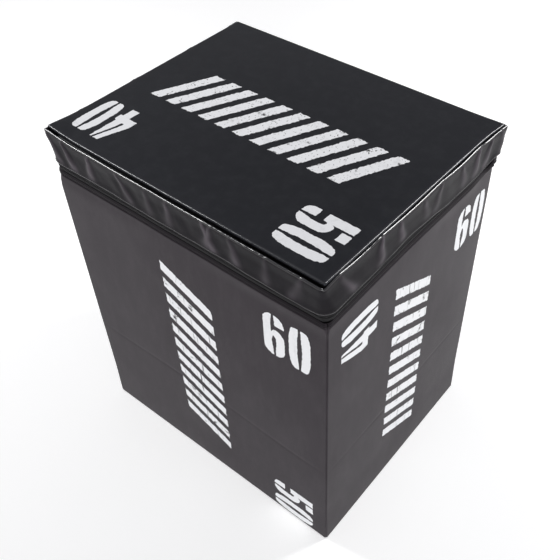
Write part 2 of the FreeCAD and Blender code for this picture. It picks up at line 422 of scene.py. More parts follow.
def add_effect(tree, group, vector, values):
    """Places a shader node group on a material's coordinates."""
    node = add_node(tree, "ShaderNodeGroup", node_tree=group)
    for name, value in values.items():
        node.inputs[name].default_value = value
    tree.links.new(vector, node.inputs["Vector"])
    return node


def math_node(tree, operation, first, second):
    """One sum on two links or numbers."""
    node = add_node(tree, "ShaderNodeMath", operation=operation)
    for socket, value in zip(node.inputs, (first, second)):
        if isinstance(value, (int, float)):
            socket.default_value = value
        else:
            tree.links.new(value, socket)
    return node.outputs["Value"]


# The embossed grain of coated cloth: small rounded pebbles, closer together in some places than in others.
grain, enter, leave = new_effect(
    "pebble_grain",
    {"Vector": "NodeSocketVector", "Pebbles per metre": "NodeSocketFloat"},
    {"Height": "NodeSocketFloat"},
)
pebbles = add_node(grain, "ShaderNodeTexVoronoi", feature="SMOOTH_F1")
pebbles.inputs["Smoothness"].default_value = 0.35
grain.links.new(enter.outputs["Vector"], pebbles.inputs["Vector"])
grain.links.new(enter.outputs["Pebbles per metre"], pebbles.inputs["Scale"])
grain.links.new(math_node(grain, "SUBTRACT", 1.0, pebbles.outputs["Distance"]), leave.inputs["Height"])

# Handling: broad cloudy smears and short scuffs, where hands and shoes have dulled or rubbed the face.
handling, enter, leave = new_effect(
    "handling_marks",
    {"Vector": "NodeSocketVector"},
    {"Smears": "NodeSocketFloat", "Scuffs": "NodeSocketFloat"},
)
smears = add_node(handling, "ShaderNodeTexNoise", {"Scale": 7.0, "Detail": 3.0, "Roughness": 0.55})
scuffs = add_node(handling, "ShaderNodeTexNoise", {"Scale": 60.0, "Detail": 6.0, "Roughness": 0.7})
stretch = add_node(handling, "ShaderNodeMapping", {"Scale": (1.0, 1.0, 0.35), "Rotation": (0.4, 0.3, 0.2)})
handling.links.new(enter.outputs["Vector"], smears.inputs["Vector"])
handling.links.new(enter.outputs["Vector"], stretch.inputs["Vector"])
handling.links.new(stretch.outputs["Vector"], scuffs.inputs["Vector"])
handling.links.new(smears.outputs["Fac"], leave.inputs["Smears"])
handling.links.new(scuffs.outputs["Fac"], leave.inputs["Scuffs"])

# The over-and-under of threads, on a UV map in metres.
weave, enter, leave = new_effect(
    "plain_weave",
    {"Vector": "NodeSocketVector", "Threads per metre": "NodeSocketFloat"},
    {"Height": "NodeSocketFloat"},
)
one_thread = 2 * math.pi / 20
counted = add_node(weave, "ShaderNodeVectorMath", operation="SCALE")
weave.links.new(enter.outputs["Vector"], counted.inputs[0])
weave.links.new(enter.outputs["Threads per metre"], counted.inputs["Scale"])
warp = add_node(weave, "ShaderNodeTexWave", {"Scale": one_thread}, bands_direction="X")
weft = add_node(weave, "ShaderNodeTexWave", {"Scale": one_thread}, bands_direction="Y")
over = add_node(weave, "ShaderNodeTexChecker", {"Scale": 1.0})
for texture in (warp, weft, over):
    weave.links.new(counted.outputs["Vector"], texture.inputs["Vector"])
warp_up = math_node(weave, "MULTIPLY", warp.outputs["Fac"], over.outputs["Fac"])
under = math_node(weave, "SUBTRACT", 1.0, over.outputs["Fac"])
weft_up = math_node(weave, "MULTIPLY", weft.outputs["Fac"], under)
weave.links.new(math_node(weave, "ADD", warp_up, weft_up), leave.inputs["Height"])


def mixed(tree, share, first, second):
    """A colour between two colours, each a link or three values."""
    node = add_node(tree, "ShaderNodeMix", data_type="RGBA")
    tree.links.new(share, node.inputs[0])
    for socket, colour in ((node.inputs[6], first), (node.inputs[7], second)):
        if isinstance(colour, tuple):
            socket.default_value = (*colour, 1)
        else:
            tree.links.new(colour, socket)
    return node.outputs[2]


def coated_cloth(name, dark, scuffed, roughness, specular, tint, second=None):
    """Black coated cloth: embossed, a little glossy, dulled where it is handled, shiny where it is drawn
    tight and, if it has one, painted with a second colour that stands in for light and shade: painted
    highlights on the gusset, painted shade on the walls' hem."""
    material, tree, shader = new_finish(
        name,
        IOR=1.5,
        Specular_IOR_Level=specular,
        Specular_Tint=(*tint, 1),
        Coat_Roughness=tight_roughness,
        Coat_IOR=tight_index,
    )
    place = add_node(tree, "ShaderNodeTexCoord").outputs["Object"]
    embossed = add_effect(tree, grain, place, {"Pebbles per metre": 1 / pebble_size})
    marks = add_effect(tree, handling, place, {})
    shine = add_node(tree, "ShaderNodeAttribute", attribute_name="shine").outputs["Fac"]
    tone = two_tone(tree, marks.outputs["Scuffs"], dark, scuffed, 0.45, 0.8)
    if second:
        # How much of the painted-light colour shows: painted highlight on the gusset, painted shade on the
        # walls' hem.
        share = add_node(tree, "ShaderNodeAttribute", attribute_name="painted_light_share").outputs["Fac"]
        tone = mixed(tree, share, tone, second)
    tree.links.new(tone, shader.inputs["Base Color"])
    gloss = spread(tree, marks.outputs["Smears"], roughness - gloss_change, roughness + gloss_change)
    tree.links.new(gloss, shader.inputs["Roughness"])
    tree.links.new(shine, shader.inputs["Coat Weight"])
    raise_surface(tree, shader, embossed.outputs["Height"], pebble_depth)
    return material


def woven(name, dark, light, thread, depth, roughness):
    """Woven tape or backing cloth, on the piece's UV map."""
    material, tree, shader = new_finish(name, Roughness=roughness, Specular_IOR_Level=0.15)
    place = add_node(tree, "ShaderNodeTexCoord").outputs["UV"]
    cloth_weave = add_effect(tree, weave, place, {"Threads per metre": 1 / thread})
    paint(tree, shader, cloth_weave.outputs["Height"], dark, light, 0.1, 0.9)
    raise_surface(tree, shader, cloth_weave.outputs["Height"], depth)
    return material


pebble_size = 0.9 * mm
pebble_depth = 0.05 * mm
tight_roughness = 0.17
tight_index = 2.3
gloss_change = 0.09
body_cloth = coated_cloth(
    "body_coated_cloth",
    # Painted light: the walls are the same cloth as the gusset and the landing face, with their black
    # painted lighter to stand in for how the walls are lit.
    dark=(0.0272, 0.0236, 0.0268),
    scuffed=(0.038, 0.033, 0.037),
    # The walls' second colour is painted shade: a darker black for the hem in the lid's shade.
    second=(0.0085, 0.0075, 0.0085),
    roughness=0.44,
    specular=0.12,
    tint=(1.0, 0.80, 1.0),
)
backing = woven("knit_backing", (0.045, 0.045, 0.047), (0.085, 0.085, 0.088), 0.9 * mm, 0.25 * mm, 0.85)

wall_foot = 0.2 * mm
foot_row = 0.7 * mm
foot_top = 4 * mm
low_row = 4 * mm
low_top = 12 * mm
wall_row = 8 * mm
close_row = 2 * mm
hem_row = 0.6 * mm
crease_band = 14 * mm
groove_band = 3 * mm
wall_heights = spaced(
    wall_foot,
    (foot_top, foot_row),
    (low_top, low_row),
    (crease_height - crease_band, wall_row),
    (crease_height + crease_band, close_row),
    (flare_start - wall_row, wall_row),
    (hem_groove - groove_band, close_row),
    (hem_top - hem_row, hem_row),
)
corner_band = 20 * mm
corner_column = 1 * mm
wall_column = 5 * mm
seam_step = 1e-4 * mm
hem_fold = ((0.0, 0.15), (0.35, 0.6), (0.25, 1.2), (-0.5, 1.6), (-7.0, 1.9))
wall_stations = [(height, 0.0) for height in wall_heights]
wall_stations += [(hem_top + rise * mm, tuck * mm) for rise, tuck in hem_fold]

for side, name in enumerate(("front", "right", "back", "left")):
    reach = front_reach if side % 2 == 0 else side_reach
    straight = reach - corner_band
    runs = spaced(-reach, (-straight, corner_column), (straight, wall_column), (reach, corner_column))
    runs = [side_middles[side] + along for along in runs]
    bm = bmesh.new()
    # Each panel's own side is kept at its two seams, where the next side begins.
    inner = [runs[0] + seam_step, *runs[1:-1], runs[-1] - seam_step]
    add_cloth(bm, inner, wall_stations, lambda run, station: wall_point(run, *station), wall_painted_shade)
    panel = cloth_piece(f"{name}_wall", bm, "box", "body_vinyl", cloth, body_cloth, backing)
    cut = (2 * (reach + seam_allowance), wall_top(side_middles[side]) + hem_turn + seam_allowance)
    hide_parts(f"{name}_panel")

# Bottom of the cover
# One panel of the same cloth, sewn to the walls all round. Its edge rolls up into the seam, and the box
# stands on it.
bottom_edge = ((5.7, 4.0), (5.5, 2.6), (5.7, 1.4), (6.5, 0.5), (8.0, 0.1), (10.5, 0.0), (14.0, 0.0))
bottom_arc = 2.5 * mm
bottom_column = 6 * mm
bottom_cell = 12 * mm
bottom_fill_inset = 13 * mm
rim_corner_band = 18 * mm
rim_corner_column = 1.2 * mm
weld = 0.01 * mm
corner_runs = (-front_reach - 2 * side_reach, -front_reach, front_reach, front_reach + 2 * side_reach)


def rim_runs(step):
    """Runs once round the box, from the back's middle, closer together at the corners."""
    back_middle = 2 * (front_reach + side_reach)
    stretches = []
    for corner in corner_runs:
        stretches.append((corner - rim_corner_band, step))
        stretches.append((corner + rim_corner_band, rim_corner_column))
    stretches.append((back_middle, step))
    return spaced(-back_middle, *stretches)


def add_ring(bm, step, stations, place, shine_and_painted_light=None):
    """Lays cloth once round the box and joins its two ends."""
    add_cloth(bm, rim_runs(step), stations, place, shine_and_painted_light)
    bmesh.ops.remove_doubles(bm, verts=bm.verts[:], dist=weld)


def fill_middle(bm, rim_inset, cell, height_at):
    """Fills the hole in a rim of cloth and cuts the fill into cells that follow the panel's height."""
    edges = []
    for edge in bm.edges:
        ends = [v.co for v in edge.verts]
        inside = all(abs(p.x) < half_length - rim_inset and abs(p.y) < half_width - rim_inset for p in ends)
        if edge.is_boundary and inside:
            edges.append(edge)
    filled = bmesh.ops.holes_fill(bm, edges=edges, sides=0)["faces"]
    uv = bm.loops.layers.uv.verify()
    geom = list(filled) + edges + list({v for e in edges for v in e.verts})
    for axis, half in ((0, half_length), (1, half_width)):
        direction = Vector((axis == 0, axis == 1, 0))
        count = int(half / cell)
        for k in range(-count, count + 1):
            cut = bmesh.ops.bisect_plane(bm, geom=geom, plane_co=direction * (k * cell), plane_no=direction)
            geom = cut["geom"]
    for face in [item for item in geom if isinstance(item, bmesh.types.BMFace)]:
        face.smooth = True
        for loop in face.loops:
            spot = loop.vert.co
            spot.z = height_at(spot.x, spot.y)
            loop[uv].uv = (spot.x, spot.y)


def bottom_height(x, y):
    """The bottom panel is pressed flat on the floor."""
    return 0.0


bm = bmesh.new()
stations = [(inset * mm, height * mm) for inset, height in bottom_edge]
add_ring(bm, bottom_column, stations, lambda run, station: rim_point(run, *station, bottom_arc))
fill_middle(bm, bottom_fill_inset, bottom_cell, bottom_height)
bmesh.ops.reverse_faces(bm, faces=bm.faces[:])
bottom = cloth_piece("bottom_face", bm, "box", "body_vinyl", cloth, body_cloth, backing)
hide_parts("bottom_panel")

# Seam bindings inside the cover
# Strips of woven tape, folded round the raw edges of the upright seams and the bottom seam and sewn with
# them. They lie between the cloth and the foam.
binding_tape = woven("binding_tape", (0.018, 0.018, 0.019), (0.045, 0.045, 0.046), 0.8 * mm, 0.2 * mm, 0.8)
binding = 0.6 * mm
binding_inset = 4.5 * mm
binding_turn = math.radians(25)
binding_row = 30 * mm
binding_column = 8 * mm
bottom_binding_row = 3 * mm
binding_low, binding_high = (corner.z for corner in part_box("corner_seam_binding"))
bottom_binding_low, bottom_binding_high = (corner.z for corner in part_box("bottom_seam_binding"))


def strip_point(run, station):
    """A point of a strip that follows the rim."""
    inset, height = station
    return rim_point(run, inset, height, lid_corner - inset)


bm = bmesh.new()
strip_half = lid_corner * binding_turn
for corner in corner_runs:
    runs = spaced(corner - strip_half, (corner + strip_half, corner_column))
    stations = [(binding_inset, height) for height in spaced(binding_low, (binding_high, binding_row))]
    add_cloth(bm, runs, stations, strip_point)
corner_binding = cloth_piece("corner_bindings", bm, "box", "binding", binding, binding_tape)
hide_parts("corner_seam_binding")

bm = bmesh.new()
heights = spaced(bottom_binding_low, (bottom_binding_high, bottom_binding_row))
add_ring(bm, binding_column, [(binding_inset, height) for height in heights], strip_point)
bottom_binding = cloth_piece("bottom_binding", bm, "box", "binding", binding, binding_tape)
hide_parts("bottom_seam_binding")

# Lower half of the zip
# A woven tape sewn behind the hem, with the nylon coil on its inner side, so that from outside the zip is
# two flat tapes that meet in a line. Coil and tape end in crimped metal stops.
tape = 0.7 * mm
tape_inset = 1.2 * mm
tape_tuck = 2.2 * mm
tape_tuck_spread = 1.1 * mm
tape_cord = 0.35 * mm
tape_cord_spread = 1.1 * mm
tape_cord_place = 1.6 * mm
tape_tuck_rise = 0.6 * mm
tape_row = 3 * mm
close_tape_row = 0.5 * mm
zip_corner_band = 22 * mm
zip_column = 6 * mm
zip_corner_column = 1.5 * mm
lower_tape_low, lower_tape_high = (corner.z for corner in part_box("zip_lower_tape"))
upper_tape_low, upper_tape_high = (corner.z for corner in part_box("zip_upper_tape"))
zip_line = (lower_tape_high + upper_tape_low) / 2
zip_meeting = 0.35 * mm
tape_margin = 5 * mm
coil_pitch = 1.6 * mm
coil_depth = 0.9 * mm
coil_margin = 4 * mm
coil_turn_half = (0.55 * mm, 0.8 * mm)
coil_turn_tilt = 0.16
tape_cloth = woven("zip_tape_cloth", (0.005, 0.005, 0.0055), (0.026, 0.025, 0.027), 1.3 * mm, 0.4 * mm, 0.75)
coil_nylon, tree, shader = new_finish("coil_nylon", Roughness=0.38, IOR=1.5)
place = add_node(tree, "ShaderNodeTexCoord").outputs["Object"]
marks = add_effect(tree, handling, place, {})
paint(tree, shader, marks.outputs["Scuffs"], (0.010, 0.010, 0.011), (0.03, 0.03, 0.032), 0.3, 0.8)


def front_runs(end, band, column, corner_column):
    """Runs from the left side round the front to the right side, closer together at the front corners."""
    return spaced(
        -end,
        (-front_reach - band, column),
        (-front_reach + band, corner_column),
        (front_reach - band, column),
        (front_reach + band, corner_column),
        (end, column),
    )


zip_runs = front_runs(zip_run, zip_corner_band, zip_column, zip_corner_column)


def tape_point(run, height):
    """A point of either tape: flat, with a raised cord along the edge that carries the coil."""
    inset = tape_inset + wall_inset * (1 - ease(height, flare_start, hem_top))
    inset -= tape_cord * hump(abs(height - zip_line), tape_cord_place, tape_cord_spread)
    hem_edge = hem_top - hem_drop * zip_gape(run)
    inset += tape_tuck * hump(height, hem_edge + tape_tuck_rise, tape_tuck_spread)
    return rim_point(run, inset + zip_lean(run), height, lid_corner - inset)


def add_coil(bm, low, high, shift):
    """One side of the coil: a row of nylon turns across the tape's edge."""
    inset = tape_inset + tape + coil_depth
    turns = int(2 * (zip_run - coil_margin) / coil_pitch)
    size = Matrix.Diagonal((*coil_turn_half, (high - low) / 2, 1))
    for k in range(turns):
        run = -zip_run + coil_margin + (k + shift) * coil_pitch
        behind = inset + zip_lean(run)
        spot = rim_point(run, behind, (low + high) / 2, lid_corner - inset)
        ahead = rim_point(run + mm, behind, (low + high) / 2, lid_corner - inset) - spot
        heading = Matrix.Rotation(math.atan2(ahead.y, ahead.x), 4, "Z")
        turn = heading @ Matrix.Rotation(coil_turn_tilt, 4, "Y")
        shape = Matrix.Translation(spot) @ turn @ size
        bmesh.ops.create_icosphere(bm, subdivisions=1, radius=1, matrix=shape)
    for face in bm.faces:
        face.smooth = True


bm = bmesh.new()
stations = spaced(lower_tape_low, (hem_top - mm, tape_row), (zip_line - zip_meeting, close_tape_row))
add_cloth(bm, zip_runs, stations, tape_point)
lower_tape = cloth_piece("lower_tape", bm, "box", "zip_tape", tape, tape_cloth)
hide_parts("zip_lower_tape")

bm = bmesh.new()
coil_low, coil_high = (corner.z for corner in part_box("zip_lower_coil"))
add_coil(bm, coil_low, coil_high, 0.0)
lower_coil = new_piece("lower_coil", bm, "box", "zip_coil", coil_nylon)
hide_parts("zip_lower_coil")

# Lid gusset
# A strip of the same cloth round the lid's front and sides, in one piece round the front corners. Its lower
# edge is turned in and sewn to the zip, and it puckers between that seam and the rolled seam at the top.
fold_height = lid_low.z
lid_seam_inset = 3.7 * mm
roll_radius = 2.4 * mm
roll_height = 595.8 * mm
roll_foot = 588.0 * mm
roll_crinkle = 0.22 * mm
roll_crinkle_size = 7 * mm
front_arcs = (17 * mm, 6 * mm)
back_arcs = (5 * mm, 2.5 * mm)
least_arc = 1.5 * mm
knot_places = {
    0: (-236, -150, -39, 74, 160, 212),
    1: (-164, -84, 40, 126, 176),
    3: (-172, -86, 30, 128),
}
fold_places = {0: (-205, -95, -2, 60, 104), 1: (-48, 2, 85, 155), 3: (-131, -33, 75, 170)}


def along_rim(places):
    """Runs of places that are given along the sides in millimetres."""
    return sorted(side_middles[side] + along * mm for side, row in places.items() for along in row)


knots = along_rim(knot_places)
folds = sorted(knots + along_rim(fold_places))
knot_width = 2.4 * mm
knot_widening = 0.16
pinch_depth = 0.5 * mm
pinch_width = 2.0 * mm
knot_slant = 0.35
ridge_depth = 2.3 * mm
front_sag = 0.7 * mm
side_sag = 2.8 * mm
side_rise = 1.5 * mm
front_bulge = 2.0 * mm
side_bulge = 1.3 * mm
bulge_height = 18 * mm
sag_span = 60 * mm
pucker_depth = 1.0 * mm
pucker_size = 38 * mm
fine_pucker_depth = 0.45 * mm
fine_pucker_size = 15 * mm
pucker_slant = 0.45
fold_wave = 3.4 * mm
fold_wave_size = 95 * mm
short_wave_share = 0.6
short_wave_size = 0.4 * fold_wave_size
fold_blend = 10 * mm
fold_follow_span = (fold_height + mm, fold_height + 26 * mm)
fold_lip = 0.8 * mm
fold_lip_span = (fold_height + 2 * mm, fold_height + 8 * mm)
fold_clear = 0.8 * mm
slider_rise = 0.6 * mm
bulge_end_span = (front_reach - 25 * mm, front_reach + 15 * mm)
crinkle_span = (roll_height - 4 * mm, roll_height + mm)
lean_end_span = (fold_height + 5 * mm, roll_height)
side_rise_span = (front_reach, front_reach + 40 * mm)
sag_start_span = (fold_height + 15 * mm, roll_height)
roll_shine_span = (roll_height + 0.1 * mm, roll_height + 0.8 * roll_radius)
fold_shine_span = (fold_height + 0.2 * mm, fold_height + 2.5 * mm)
# Painted highlight: how pale the lower fold is painted, and where the painted highlight on the fold ridges
# begins.
fold_shine = 0.6
fold_highlight = 0.25
ridge_highlight_span = (fold_height, fold_height + 7 * mm)
gusset_corner_band = 25 * mm
gusset_column = 1.6 * mm
gusset_corner_column = 1.25 * mm
gusset_row = 3 * mm
# How far the fold rises or falls at places along each side.
fold_rises = along_sides({
    0: ((-248, 1.0), (-119, 1.0), (-19, -0.5), (81, 1.0), (165, -2.6), (215, -3.2)),
    1: (
        (-186, 1.7), (-135, 2.2), (-85, 0.6), (-35, 2.1), (15, 0.1),
        (60, -2.9), (131, -4.4), (160, -3.7), (180, 0.0),
    ),
})
lid_turn = 0.019
gusset_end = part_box("lid_gusset")[1].y
gusset_cloth = coated_cloth(
    "gusset_coated_cloth",
    # Painted shade: the same cloth as the walls, with a darker black painted for how the gusset is lit.
    dark=(0.0075, 0.0068, 0.0082),
    scuffed=(0.014, 0.013, 0.015),
    # The gusset's second colour is a painted highlight: a paler black on the ridges of the hanging folds and
    # along the lower fold, for the light they catch.
    second=(0.115, 0.100, 0.115),
    roughness=0.42,
    specular=0.07,
    tint=(0.92, 0.86, 1.0),
)


def lid_arc(run, height, inset):
    """Corner radius of the lid: wide at the zip, tight at the top seam, tighter still at the back."""
    foot, top = front_arcs if abs(run) < front_reach + side_reach else back_arcs
    return max(least_arc, foot + (top - foot) * ease(height, zip_line, roll_height) - inset)


def settle(spot):
    """The lid as it sits: turned a little on the box, with two opposite corners drawn up."""
    share = ease(spot.z, fold_height, roll_height)
    settled = Matrix.Rotation(-lid_turn * share, 3, "Z") @ pushed(spot)
    for side_x, side_y, rise, _, reach in corner_pulls:
        settled.z += rise * near_corner(spot, side_x, side_y, reach) * share
    return settled


def knot_ridge(run, height):
    """Folds that hang from the knots in the top seam: up to 1 on a fold's ridge, 0 between folds."""
    drop = max(0.0, roll_height - height)
    width = knot_width + knot_widening * drop
    ridge = 0.0
    for number, fold in enumerate(folds):
        away = run - fold - knot_slant * math.sin(2.4 * number) * drop
        ridge = max(ridge, (0.7 + 0.3 * math.sin(5.1 * number)) * hump(away, 0, width))
    return ridge


def seam_sag(run):
    """How far the gusset's rolled edge sags between two knots, with a pinch beside each knot."""
    pinch = max(pinch_depth * hump(run, knot - pinch_width, pinch_width) for knot in knots)
    most = front_sag if abs(run) < front_reach else side_sag
    for before, after in zip(knots, knots[1:]):
        if before <= run < after:
            share = (run - before) / (after - before)
            return pinch + most * min(1.0, (after - before) / sag_span) * math.sin(math.pi * share)
    return pinch


def fold_rise(run):
    """How far the gusset's lower fold wanders up or down from its straight line."""
    wander = noise.noise(Vector((run / fold_wave_size, 2.3, 0.4)))
    wander += short_wave_share * noise.noise(Vector((run / short_wave_size, 6.1, 1.4)))
    free = fold_wave * wander + between(fold_rises, run)
    beside_slider = slider_rise * (1 + wander)
    slider_side = ease(-run, front_reach - fold_blend, front_reach + fold_blend)
    behind = ease(abs(run), zip_run - fold_blend, zip_run)
    rise = free + (beside_slider - free) * slider_side
    return max(rise * (1 - behind), zip_line + fold_clear - fold_height)


def gusset_point(run, station, calm=1.0):
    """A point of the gusset at a nominal height and inset, with its puckers, its fold and its roll."""
    height, inset = station
    share = (height - fold_height) / (roll_height - fold_height)
    follow = 1 - ease(height, *fold_follow_span)
    slanted = run + pucker_slant * (height - fold_height)
    pucker = noise.noise(Vector((slanted / pucker_size, 0.4 * share, 5.0)))
    fine = noise.noise(Vector((slanted / fine_pucker_size, 0.7 * share, 9.0)))
    free_span = math.sin(math.pi * min(1.0, max(0.0, share))) ** 0.8
    hung_span = ease(share, 0.05, 0.45) * (1 - 0.9 * ease(share, 0.88, 1.0))
    swell = (pucker_depth * (pucker + 0.35) + fine_pucker_depth * fine) * free_span
    swell += ridge_depth * (knot_ridge(run, height) - 0.25) * hung_span
    swell += fold_lip * (1 - ease(height, *fold_lip_span)) * (inset < mm)
    leaning = 1 - ease(abs(run), *bulge_end_span)
    bulge = side_bulge + (front_bulge - side_bulge) * leaning
    swell += bulge * ease(height, roll_height - bulge_height, roll_height)
    crinkle = noise.noise(Vector((run / roll_crinkle_size, 3.3, 1.0)))
    crinkle *= roll_crinkle * ease(height, *crinkle_span)
    inset += zip_lean(run) * (1 - ease(height, *lean_end_span)) - calm * swell
    rise = side_rise * ease(abs(run), *side_rise_span)
    height += calm * (fold_rise(run) * follow + crinkle)
    height += (rise - calm * seam_sag(run)) * ease(height, *sag_start_span)
    return settle(rim_point(run, inset, height, lid_arc(run, height, inset)))


def gusset_shine_and_painted_highlight(run, station):
    """Shine and painted highlight of the gusset: shiny along roll and fold, with a painted highlight, a
    paler black, on the ridges of the hanging folds and along the lower fold.
    """
    height, inset = station
    on_roll = ease(height, *roll_shine_span) * (inset < 1.05 * roll_radius)
    on_fold = 1 - ease(height, *fold_shine_span)
    on_wall = ease(height, *ridge_highlight_span) * (1 - on_roll)
    shade = 0.5 + 0.5 * noise.noise(Vector((run / fine_pucker_size, height / pucker_size, 7.0)))
    # Painted highlight along the ridges of the hanging folds.
    ridge_highlight = knot_ridge(run, height) * on_wall * shade
    return max(on_roll, fold_shine * on_fold), max(ridge_highlight, fold_highlight * on_fold)


fold_path = ((7.0, 2.0), (1.0, 2.0), (0.2, 1.7), (-0.2, 1.0), (0.1, 0.35), (0.8, 0.05))
gusset_stations = [(fold_height + rise * mm, tuck * mm) for rise, tuck in fold_path]
gusset_stations += [(height, 0.0) for height in spaced(fold_height + 2 * mm, (roll_height, gusset_row))]
for step in range(1, 9):
    angle = math.pi * step / 8
    around = (roll_height + roll_radius * math.sin(angle), roll_radius * (1 - math.cos(angle)))
    gusset_stations.append(around)
gusset_stations.append((roll_foot, lid_seam_inset))
gusset_run = side_middles[1] + gusset_end

bm = bmesh.new()
gusset_runs = front_runs(gusset_run, gusset_corner_band, gusset_column, gusset_corner_column)
add_cloth(bm, gusset_runs, gusset_stations, gusset_point, gusset_shine_and_painted_highlight)
gusset = cloth_piece("gusset_strip", bm, "lid", "lid_vinyl", cloth, gusset_cloth, backing)
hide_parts("lid_gusset")

# Back gusset
# The strip that closes the lid behind the zip's ends. Its lower edge is sewn to the back wall, and that seam
# is the lid's hinge, so it stays straight and flat.
back_gusset_run = perimeter - gusset_run
back_lean = 0.35 * mm
back_lean_gain = 1.8 * mm
back_calm = 0.12
back_foot = 0.1 * mm
back_gap = 0.2 * mm
back_corner_band = 22 * mm
back_column = 4 * mm
back_stations = [(max(height, fold_height + back_foot), inset) for height, inset in gusset_stations]


def back_gusset_point(run, station):
    """A point of the back gusset: as the gusset, but calm and never proud of the seam."""
    height, inset = station
    lean = back_lean + back_lean_gain * ease(height, fold_height, roll_height)
    return gusset_point(run, (height, max(inset, lean)), calm=back_calm)


bm = bmesh.new()
back_corner = corner_runs[3]
back_runs = spaced(
    gusset_run + back_gap,
    (back_corner + back_corner_band, gusset_corner_column),
    (perimeter - back_corner - back_corner_band, back_column),
    (back_gusset_run - back_gap, gusset_corner_column),
)
add_cloth(bm, back_runs, back_stations, back_gusset_point, gusset_shine_and_painted_highlight)
back_gusset = cloth_piece("back_gusset_strip", bm, "lid", "lid_vinyl", cloth, gusset_cloth, backing)
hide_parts("lid_back_gusset")

# Landing face
# The lid's top panel, sewn to the gusset in a seam that is turned and rolled, so that a dark valley runs
# between the panel's tight edge and the gusset's. The foam crowns it a little.
top_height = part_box("lid_top_panel")[1].z
panel_inset = 4.4 * mm
panel_roll = 1.7 * mm
panel_rise = 2.2 * mm
panel_undercut = 2.6 * mm
valley_floor = 589.0 * mm
panel_arc = 2.2 * mm
panel_stretch = 2.7 * mm
panel_skew = 0.28
panel_shine = 0.6
panel_shine_span = (panel_inset + 0.2 * mm, panel_inset + mm)
panel_column = 4 * mm
panel_cell = 10 * mm
panel_fill_inset = panel_inset + panel_roll + 5 * mm
edge_tension = 0.12 * mm
edge_tension_size = 9 * mm
crown = 1.1 * mm
top_wave = 0.35 * mm
top_wave_size = 110 * mm
lid_cloth = coated_cloth(
    "lid_coated_cloth",
    # Painted shade: the same cloth as the walls, with a darker black painted for how the landing face is
    # lit.
    dark=(0.0096, 0.0100, 0.0120),
    scuffed=(0.017, 0.0175, 0.020),
    roughness=0.40,
    specular=0.33,
    tint=(0.84, 0.87, 1.0),
)


def crowned(x, y):
    """Height of the landing face, which stands a little higher in the middle."""
    dome = (1 - (x / half_length) ** 2) * (1 - (y / half_width) ** 2)
    wave = noise.noise(Vector((x / top_wave_size, y / top_wave_size, 2.0)))
    return top_height + panel_rise + max(0.0, dome) ** 0.7 * (crown + top_wave * wave)


def drawn(spot):
    """The panel as it is sewn in: drawn to the right, most at the front, and settled with the lid."""
    shift = panel_stretch * max(0.0, spot.x / half_length) * (1 - panel_skew * spot.y / half_width)
    return settle(spot + Vector((shift, 0, 0)))


def landing_rim_point(run, station):
    """A point of the panel's rolled edge."""
    inset, drop = station
    spot = rim_point(run, inset, top_height, panel_arc)
    tension = edge_tension * noise.noise(Vector((run / edge_tension_size, 1.0, 4.0)))
    spot.z = crowned(spot.x, spot.y) - drop + tension * (drop > 0)
    return spot


def landing_wear(run, station):
    """Shine of the panel: shiny along its tight edge, and no painted light."""
    inset, drop = station
    on_edge = ease(inset, *panel_shine_span) * (drop < panel_roll - 0.1 * mm)
    on_edge *= inset < panel_inset + panel_roll + mm
    return panel_shine * on_edge, 0.0


panel_stations = [(panel_inset + panel_undercut, top_height - valley_floor)]
for step in range(-4, 7):
    angle = math.pi / 2 * step / 6
    around = (panel_inset + panel_roll * (1 - math.cos(angle)), panel_roll * (1 - math.sin(angle)))
    panel_stations.append(around)
panel_stations += [(panel_inset + panel_roll + 2 * mm, 0.0), (panel_inset + panel_roll + 6 * mm, 0.0)]

bm = bmesh.new()
add_ring(bm, panel_column, panel_stations, landing_rim_point, landing_wear)
fill_middle(bm, panel_fill_inset, panel_cell, crowned)
for vert in bm.verts:
    vert.co = drawn(vert.co)
landing = cloth_piece("landing_face_panel", bm, "lid", "lid_vinyl", cloth, lid_cloth, backing)
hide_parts("lid_top_panel")

# Lid seam binding
# Woven tape folded round the raw edges of the rolled seam, inside the lid. It is sewn on in the same seam
# and goes with the lid.
lid_binding_low, lid_binding_high = (corner.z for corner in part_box("lid_seam_binding"))
binding_fold = ((2.6, 1.0), (2.5, 0.3), (3.0, 0.0), (5.2, 0.0), (5.7, 0.3), (5.6, 1.0))


def lid_binding_point(run, station):
    """A point of the binding, which follows the seam."""
    inset, height = station
    return settle(rim_point(run, inset, height, lid_arc(run, roll_height, inset)))


bm = bmesh.new()
lid_binding_rise = min(lid_binding_high, roll_foot) - lid_binding_low
stations = [(inset * mm, lid_binding_low + share * lid_binding_rise) for inset, share in binding_fold]
add_ring(bm, binding_column, stations, lid_binding_point)
lid_binding = cloth_piece("lid_binding", bm, "lid", "binding", binding, binding_tape)
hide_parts("lid_seam_binding")

# Upper half of the zip
# The same tape and coil as below, sewn behind the gusset's turned edge. The tape's margin goes up inside
# the gusset, where the stitches hold it.
close_tape_band = 5 * mm
bm = bmesh.new()
tape_top = upper_tape_high + tape_margin
stations = spaced(zip_line + zip_meeting, (zip_line + close_tape_band, close_tape_row), (tape_top, tape_row))
add_cloth(bm, zip_runs, stations, tape_point)
upper_tape = cloth_piece("upper_tape", bm, "lid", "zip_tape", tape, tape_cloth)
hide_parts("zip_upper_tape")

bm = bmesh.new()
coil_low, coil_high = (corner.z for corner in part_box("zip_upper_coil"))
add_coil(bm, coil_low, coil_high, 0.5)
upper_coil = new_piece("upper_coil", bm, "lid", "zip_coil", coil_nylon)
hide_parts("zip_upper_coil")

